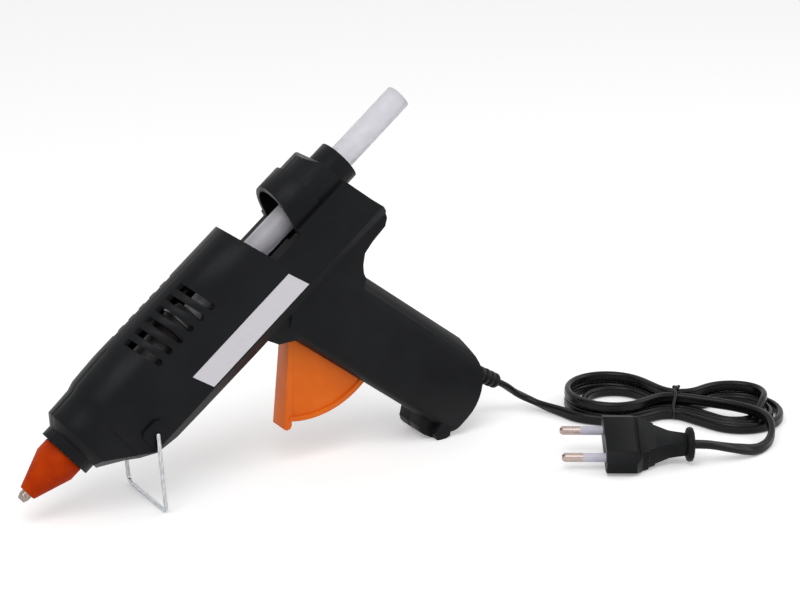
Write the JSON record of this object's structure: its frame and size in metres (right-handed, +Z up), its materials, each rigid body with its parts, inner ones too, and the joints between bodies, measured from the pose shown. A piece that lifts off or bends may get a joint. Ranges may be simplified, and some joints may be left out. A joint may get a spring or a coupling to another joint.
{
  "type": "hot glue gun",
  "caption": "Pistol-shaped hot glue gun with a sector trigger, folding wire stand, covered nozzle, glue stick in a side window, and a mains cord in a tied hank with a flat two-pin plug.",
  "frame": {"origin": "middle of the heel flat under the grip, on the surface the gun stands on", "axes": "+Z up from the surface, -X towards the nozzle, +Y to the side with the screws, away from the label"},
  "size_m": [0.3486, 0.1211, 0.1621],
  "materials": {
    "housing_plastic": "fine matte moulded black plastic",
    "zinc_steel": "zinc-plated steel",
    "label_film": "grey-lilac printed film, left bare",
    "plated_brass": "nickel-plated brass",
    "cover_silicone": "red-orange silicone",
    "cast_aluminium": "as cast",
    "heater_block": "dark heater block with contact plates",
    "insulator_film": "amber insulating film",
    "phenolic": "brown heat-resistant moulding",
    "sleeve_silicone": "beige silicone",
    "spring_steel": "bright spring steel",
    "hot_melt": "cloudy translucent glue stick",
    "carriage_plastic": "natural nylon",
    "trigger_plastic": "satin orange plastic",
    "bright_wire": "bright plated wire",
    "relief_rubber": "black moulded rubber",
    "cord_jacket": "glossy black flat twin cord",
    "brown_insulation": "brown wire insulation",
    "blue_insulation": "blue wire insulation",
    "plug_plastic": "black moulded plug",
    "sleeve_plastic": "pale pin sleeve"
  },
  "bodies": {
    "gun": {"left_housing": "housing_plastic", "right_housing": "housing_plastic", "housing_screws": "zinc_steel", "rating_plate": "label_film", "nozzle": "plated_brass", "nozzle_cover": "cover_silicone", "melt_chamber": "cast_aluminium", "ptc_heater": "heater_block", "heater_insulator": "insulator_film", "front_support": "phenolic", "rear_support": "phenolic", "inlet_sleeve": "sleeve_silicone", "sleeve_clamp": "spring_steel", "trigger_pin": "zinc_steel", "rear_guide": "housing_plastic", "strain_relief": "relief_rubber", "cord_stub": "cord_jacket", "cord_clamp": "housing_plastic", "live_wire": "brown_insulation", "neutral_wire": "blue_insulation", "cord_lead": "cord_jacket", "cord_hank": "cord_jacket", "cord_tail": "cord_jacket", "cord_tie": "relief_rubber", "plug_body": "plug_plastic", "plug_sleeves": "sleeve_plastic", "plug_pins": "plated_brass"},
    "trigger": {"trigger": "trigger_plastic", "return_spring": "spring_steel"},
    "carriage": {"feed_carriage": "carriage_plastic", "drive_pin": "zinc_steel", "claw_pin": "zinc_steel", "claw_spring": "spring_steel"},
    "claw": {"feed_claw": "zinc_steel"},
    "stick": {"glue_stick": "hot_melt"},
    "stand": {"wire_stand": "bright_wire"}
  },
  "joints": [
    {"name": "trigger_pull", "type": "hinge", "parent": "gun", "child": "trigger", "pos_m": [-0.06566, 0, 0.06309], "axis": [0, -1, 0], "range_deg": [0, 25], "stiffness_Nm_per_rad": 0.5, "springref_deg": -17.19},
    {"name": "carriage_feed", "type": "slide", "parent": "gun", "child": "carriage", "axis": [-0.7771, 0, -0.6293], "range_m": [0, 0.01096]},
    {"name": "claw_tip", "type": "hinge", "parent": "carriage", "child": "claw", "pos_m": [-0.09973, 0, 0.08054], "axis": [0, -1, 0], "range_deg": [0, 6], "stiffness_Nm_per_rad": 0.05, "springref_deg": -5.73},
    {"name": "stick_feed", "type": "slide", "parent": "carriage", "child": "stick", "axis": [0.7771, 0, 0.6293], "range_m": [-0.01, 0.115]},
    {"name": "stand_fold", "type": "hinge", "parent": "gun", "child": "stand", "pos_m": [-0.14168, 0, 0.03589], "axis": [0, -1, 0], "range_deg": [0, 100]}
  ],
  "couplings": [
    {"joint": "carriage_feed", "follows": "trigger_pull", "m_per_rad": 0.0251}
  ]
}
